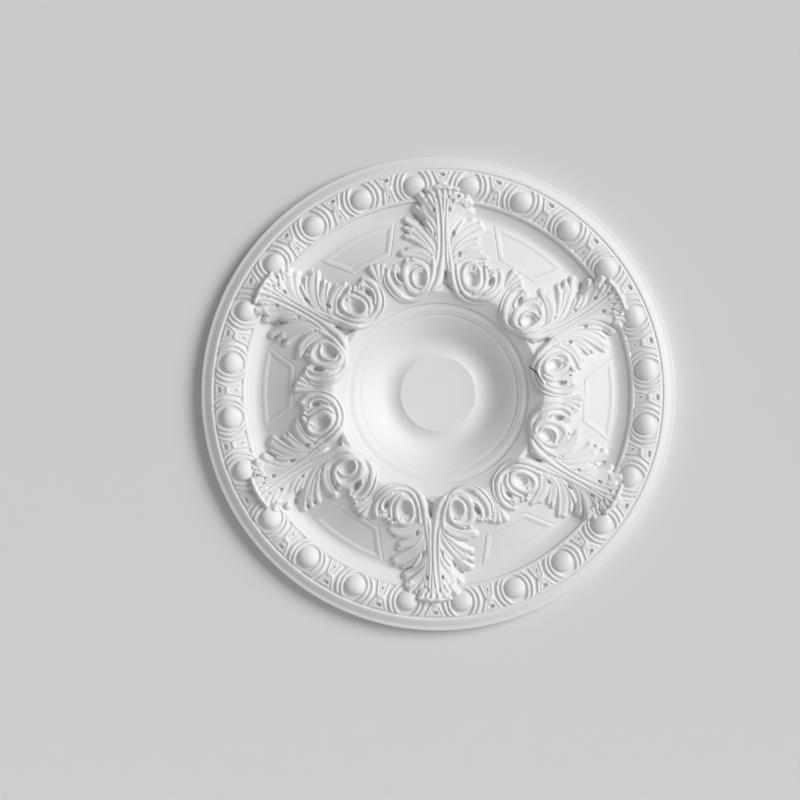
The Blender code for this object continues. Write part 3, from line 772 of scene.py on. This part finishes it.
WALL_GAP = 0.0006  # the stage is in metres; the wall stands this far behind the flat back
WALL_HOLE = 0.3485  # radius of the hole through which the back is seen from behind
WALL_HALF = 2.2
WALL_STEPS = 96
wall_turns = [2 * math.pi * i / WALL_STEPS for i in range(WALL_STEPS)]
hole_edge = [(WALL_HOLE * math.sin(a), WALL_GAP, WALL_HOLE * math.cos(a)) for a in wall_turns]
wall_edge = []
for x, _, z in hole_edge:
    stretch = WALL_HALF / max(abs(x), abs(z))
    wall_edge.append((x * stretch, WALL_GAP, z * stretch))
wall_faces = []
for i in range(WALL_STEPS):
    following = (i + 1) % WALL_STEPS
    wall_faces.append((i, following, WALL_STEPS + following, WALL_STEPS + i))
pale_wall = flat_finish("pale_wall", (0.74, 0.74, 0.74, 1))
behind = pale_wall.node("ShaderNodeNewGeometry", output="Backfacing")
clear = pale_wall.node("ShaderNodeBsdfTransparent")
solid = Line(pale_wall.tree, pale_wall.shader.outputs[0])
one_sided = pale_wall.node("ShaderNodeMixShader", values={0: behind, 1: solid, 2: clear})
surface = pale_wall.tree.nodes["Material Output"].inputs["Surface"]
pale_wall.tree.links.new(one_sided.socket, surface)
staged("wall", hole_edge + wall_edge, wall_faces, pale_wall)

FLOOR_HALF = 9
FLOOR_LEVEL = -0.8
floor_signs = [(-1, -1), (1, -1), (1, 1), (-1, 1)]
floor_corners = [(FLOOR_HALF * x, FLOOR_HALF * y, FLOOR_LEVEL) for x, y in floor_signs]
staged("floor", floor_corners, [(0, 1, 2, 3)], flat_finish("pale_floor", (0.72, 0.72, 0.72, 1)))

lamp_data = bpy.data.lights.new("soft_lamp", "SUN")
lamp_data.angle = math.radians(36)
lamp_data.energy = 2.45
lamp = bpy.data.objects.new("soft_lamp", lamp_data)
shine = Vector((-0.726, 0.613, -0.309))
lamp.rotation_mode = "QUATERNION"
lamp.rotation_quaternion = shine.to_track_quat("-Z", "Y")
bpy.context.scene.collection.objects.link(lamp)

world = bpy.data.worlds.new("room_light")
world.use_nodes = True
background = world.node_tree.nodes["Background"]
background.inputs["Color"].default_value = (1.0, 1.0, 1.0, 1)
background.inputs["Strength"].default_value = 0.25
scene = bpy.context.scene
scene.world = world
scene.view_settings.view_transform = "Standard"


# Camera: square on to the wall, a little below the rose's middle and to its left. Its distance can't be
# read from the photograph and is chosen, and its lens then gives the rose the size that it has there.
DISTANCE = 5.0
PICTURE_WIDTH = 800  # in pixels
PIXELS_RIGHT = 38.1  # how far the rose's middle lies right of the picture's
PIXELS_UP = 6.3
METRES_PER_PIXEL = 0.0014765
FACE_DEPTH = 0.0164  # the depth at which that scale holds
camera_data = bpy.data.cameras.new("camera")
camera_data.sensor_width = 36.0
seen_width = PICTURE_WIDTH * METRES_PER_PIXEL
camera_data.lens = camera_data.sensor_width * (DISTANCE - FACE_DEPTH) / seen_width
camera_data.clip_end = 60
camera = bpy.data.objects.new("camera", camera_data)
camera.location = (-PIXELS_RIGHT * METRES_PER_PIXEL, -DISTANCE, -PIXELS_UP * METRES_PER_PIXEL)
camera.rotation_euler = (math.pi / 2, 0, 0)
bpy.context.scene.collection.objects.link(camera)
scene.camera = camera
